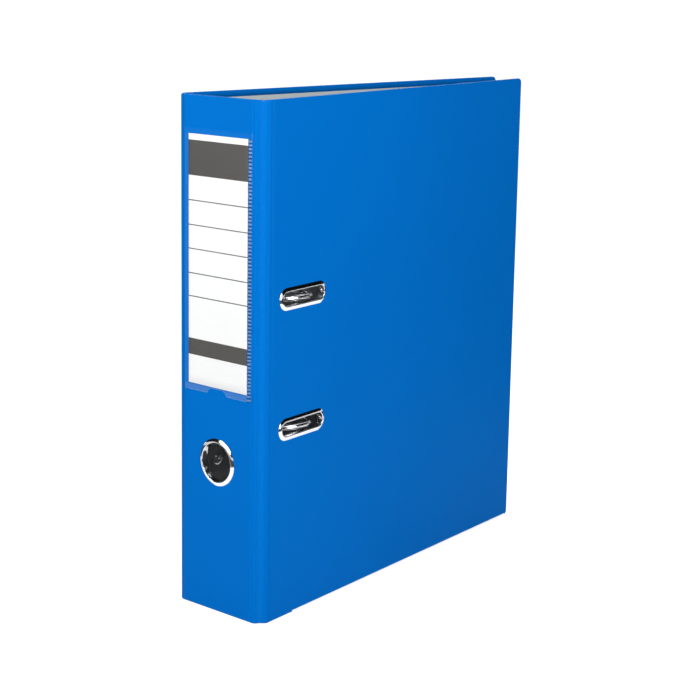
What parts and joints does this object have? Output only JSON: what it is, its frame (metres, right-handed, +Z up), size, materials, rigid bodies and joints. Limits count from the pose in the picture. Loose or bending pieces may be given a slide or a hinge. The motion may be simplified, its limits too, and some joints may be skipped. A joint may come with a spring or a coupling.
{
  "type": "lever arch file",
  "caption": "Foil-covered A4 lever arch file with folding spine, finger ring, slotted front cover, and a lever mechanism with arches, posts and compressor bar.",
  "frame": {"origin": "middle of the footprint of the standing file, on the surface it stands on", "axes": "+Z up along the spine, +X from the back cover, which carries the mechanism, to the front cover, +Y from the spine to the fore-edge"},
  "size_m": [0.0752, 0.293, 0.318],
  "materials": {
    "cover_foil": "satin laminated foil",
    "greyboard": "raw recycled board",
    "lining_paper": "matt light grey paper",
    "label_paper": "matt card with plain printed bands",
    "clear_film": "clear flexible film",
    "bright_metal": "bright nickel",
    "zinc_steel": "zinc-plated sheet steel",
    "roller_plastic": "black moulded nylon"
  },
  "bodies": {
    "back_cover": {"back_board": "greyboard", "back_foil": "cover_foil", "back_lining": "lining_paper", "back_edge_shoe": "bright_metal", "base_plate": "zinc_steel", "upper_post": "bright_metal", "lower_post": "bright_metal", "mechanism_rivets": "bright_metal", "lever_pivot_pin": "zinc_steel", "spring_pin": "zinc_steel"},
    "back_hinge": {"back_strip_board": "greyboard", "back_strip_foil": "cover_foil", "back_strip_lining": "lining_paper"},
    "spine": {"spine_board": "greyboard", "spine_foil": "cover_foil", "spine_lining": "lining_paper", "finger_ring": "bright_metal", "finger_ring_washer": "bright_metal", "label_card": "label_paper", "label_pocket": "clear_film"},
    "front_hinge": {"front_strip_board": "greyboard", "front_strip_foil": "cover_foil", "front_strip_lining": "lining_paper"},
    "front_cover": {"front_board": "greyboard", "front_foil": "cover_foil", "front_lining": "lining_paper", "front_edge_shoe": "bright_metal", "upper_slot_eyelet": "bright_metal", "lower_slot_eyelet": "bright_metal", "upper_slot_washer": "bright_metal", "lower_slot_washer": "bright_metal"},
    "arch": {"arch_wire": "bright_metal"},
    "lever": {"lever": "bright_metal", "roller_pin": "zinc_steel"},
    "roller": {"lever_roller": "roller_plastic"},
    "spring": {"leaf_spring": "zinc_steel"},
    "compressor": {"compressor_bar": "zinc_steel"},
    "upper_latch": {"upper_latch": "zinc_steel"},
    "lower_latch": {"lower_latch": "zinc_steel"}
  },
  "joints": [
    {"name": "back_fold", "type": "hinge", "parent": "back_cover", "child": "back_hinge", "pos_m": [-0.03664, -0.14014, 0.1572], "axis": [0, 0, -1], "range_deg": [0, 46.8]},
    {"name": "spine_fold", "type": "hinge", "parent": "back_hinge", "child": "spine", "pos_m": [-0.03045, -0.14596, 0.1572], "axis": [0, 0, -1], "range_deg": [0, 46.8]},
    {"name": "front_fold", "type": "hinge", "parent": "spine", "child": "front_hinge", "pos_m": [0.03243, -0.14201, 0.1572], "axis": [0, 0, -1], "range_deg": [-1.5, 48.1]},
    {"name": "front_cover_fold", "type": "hinge", "parent": "front_hinge", "child": "front_cover", "pos_m": [0.03769, -0.13534, 0.1572], "axis": [0, 0, -1], "range_deg": [-1.5, 48.1]},
    {"name": "arch_swing", "type": "hinge", "parent": "back_cover", "child": "arch", "pos_m": [-0.02915, -0.11614, 0.1572], "axis": [0, 0, -1], "range_deg": [0, 52]},
    {"name": "lever_lift", "type": "hinge", "parent": "back_cover", "child": "lever", "pos_m": [-0.02065, -0.09614, 0.1832], "axis": [0, -1, 0], "range_deg": [0, 76]},
    {"name": "roller_spin", "type": "hinge", "parent": "lever", "child": "roller", "pos_m": [-0.02385, -0.09614, 0.16855], "axis": [0, 1, 0], "continuous": true},
    {"name": "spring_flex", "type": "hinge", "parent": "back_cover", "child": "spring", "pos_m": [-0.03095, -0.09614, 0.1092], "axis": [0, 1, 0], "range_deg": [0, 18]},
    {"name": "compressor_slide", "type": "slide", "parent": "back_cover", "child": "compressor", "axis": [1, 0, 0], "range_m": [0, 0.032]},
    {"name": "upper_latch_slide", "type": "slide", "parent": "compressor", "child": "upper_latch", "axis": [0, 0, 1], "range_m": [0, 0.004]},
    {"name": "lower_latch_slide", "type": "slide", "parent": "compressor", "child": "lower_latch", "axis": [0, 0, 1], "range_m": [0, 0.004]}
  ],
  "couplings": [
    {"joint": "spine_fold", "follows": "back_fold", "ratio": 1},
    {"joint": "front_cover_fold", "follows": "front_fold", "ratio": 1},
    {"joint": "arch_swing", "follows": "back_fold", "ratio": 1.1111},
    {"joint": "lever_lift", "follows": "back_fold", "ratio": 1.6239},
    {"joint": "spring_flex", "follows": "back_fold", "ratio": 0.3846}
  ]
}
